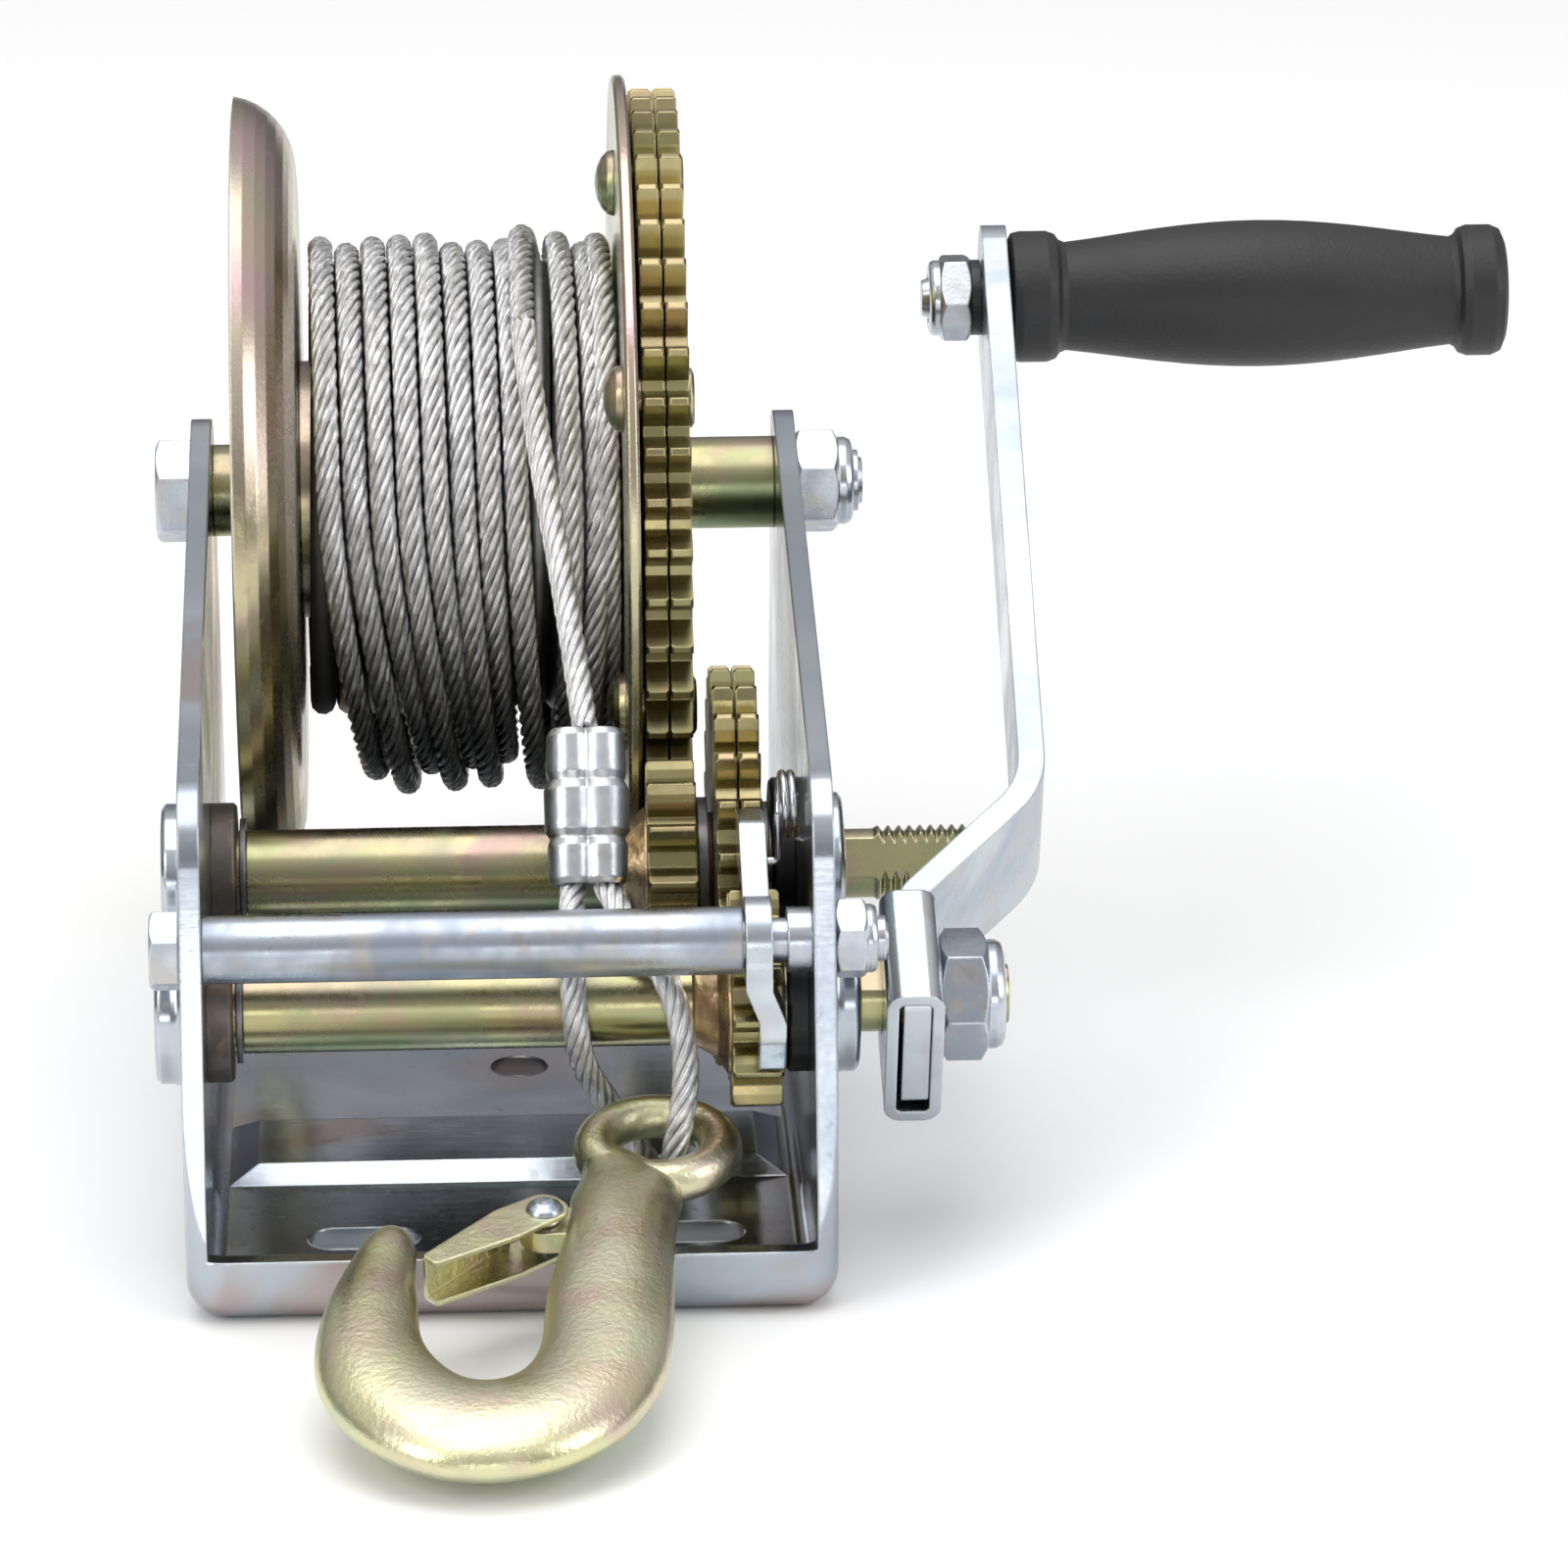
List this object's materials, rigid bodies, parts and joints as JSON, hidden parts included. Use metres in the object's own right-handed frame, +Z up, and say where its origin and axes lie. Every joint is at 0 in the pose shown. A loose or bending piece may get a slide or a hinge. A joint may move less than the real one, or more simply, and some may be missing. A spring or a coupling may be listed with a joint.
{
  "type": "boat trailer winch",
  "caption": "Two-speed hand winch with a U-shaped sheet frame, geared wire-rope drum, ratchet pawl, removable crank and an eye slip hook.",
  "frame": {"origin": "midway between the two front mounting slots, on the underside of the base", "axes": "+X along the shafts toward the crank, +Y from the operator's lip toward the drum, +Z up from the base"},
  "size_m": [0.2702, 0.3318, 0.1849],
  "materials": {
    "zinc_sheet": "clear zinc plated",
    "zinc_parts": "clear zinc plated",
    "yellow_zinc": "yellow zinc plated",
    "sintered": "dull sintered bronze",
    "black_plastic": "moulded, fine grain",
    "dark_steel": "dull",
    "braze": "brazed",
    "wire_rope": "galvanised strand",
    "aluminium": "swaged",
    "spring_steel": "bright wire"
  },
  "bodies": {
    "frame": {"frame": "zinc_sheet", "bushing_front_left": "sintered", "bushing_rear_left": "sintered", "bushing_front_right": "black_plastic", "bushing_rear_right": "black_plastic", "tie_tube": "zinc_parts", "tie_sleeve": "zinc_parts", "tie_bolt": "zinc_parts", "tie_nut": "zinc_parts", "axle_tube": "yellow_zinc", "axle_bolt": "zinc_parts", "axle_nut": "zinc_parts", "pawl_spring": "spring_steel", "rope_tail": "wire_rope", "ferrule": "aluminium", "rope_loop": "wire_rope"},
    "drum": {"drum_flange_left": "yellow_zinc", "drum_core": "yellow_zinc", "drum_flange_right": "yellow_zinc", "drum_gear_inner": "yellow_zinc", "drum_gear_outer": "yellow_zinc", "drum_bushing_left": "sintered", "drum_bushing_right": "sintered", "drum_rivets": "yellow_zinc", "rope_clamp": "zinc_parts", "rope_clamp_screw": "zinc_parts", "rope_winding": "wire_rope"},
    "rear_shaft": {"rear_shaft": "yellow_zinc", "rear_retaining_ring": "dark_steel", "rear_pinion": "yellow_zinc", "rear_pinion_braze": "braze", "rear_washer": "dark_steel", "rear_spacer": "sintered", "intermediate_gear_inner": "yellow_zinc", "intermediate_gear_outer": "yellow_zinc", "rear_collar": "dark_steel"},
    "front_shaft": {"front_shaft": "yellow_zinc", "front_retaining_ring": "dark_steel", "front_pinion": "yellow_zinc", "front_pinion_braze": "braze", "front_collar": "dark_steel", "crank_bracket": "zinc_parts", "crank_arm": "zinc_parts", "crank_nut": "zinc_parts", "grip_bolt": "zinc_parts", "grip_washer": "black_plastic", "grip_nut": "zinc_parts"},
    "grip": {"grip": "black_plastic"},
    "pawl": {"pawl": "zinc_parts"},
    "hook": {"hook": "yellow_zinc", "latch_rivet": "zinc_parts"},
    "latch": {"latch": "yellow_zinc", "latch_spring": "spring_steel"}
  },
  "joints": [
    {"name": "drum_spin", "type": "hinge", "parent": "frame", "child": "drum", "pos_m": [-0.0028, 0.13763, 0.10536], "axis": [1, 0, 0], "continuous": true},
    {"name": "rear_shaft_spin", "type": "hinge", "parent": "frame", "child": "rear_shaft", "pos_m": [-0.0028, 0.06317, 0.05244], "axis": [1, 0, 0], "continuous": true},
    {"name": "front_shaft_spin", "type": "hinge", "parent": "frame", "child": "front_shaft", "pos_m": [-0.0028, 0.0115, 0.045], "axis": [1, 0, 0], "continuous": true},
    {"name": "grip_spin", "type": "hinge", "parent": "front_shaft", "child": "grip", "pos_m": [0.1522, 0.19421, 0.12635], "axis": [1, 0, 0], "continuous": true},
    {"name": "pawl_pivot", "type": "hinge", "parent": "frame", "child": "pawl", "pos_m": [0.0422, -0.0102, 0.0642], "axis": [1, 0, 0], "range_deg": [-3, 0]},
    {"name": "hook_swing", "type": "hinge", "parent": "frame", "child": "hook", "pos_m": [0.0237, -0.00096, 0.02708], "axis": [-1, 0, 0], "range_deg": [0, 15]},
    {"name": "latch_pivot", "type": "hinge", "parent": "hook", "child": "latch", "pos_m": [0.0028, -0.0387, 0.02056], "axis": [0, -0.1702, 0.9854], "range_deg": [0, 30], "stiffness_Nm_per_rad": 0.02, "springref_deg": -17.19}
  ],
  "couplings": [
    {"joint": "rear_shaft_spin", "follows": "drum_spin", "ratio": -4.25},
    {"joint": "front_shaft_spin", "follows": "drum_spin", "ratio": 8.5}
  ]
}
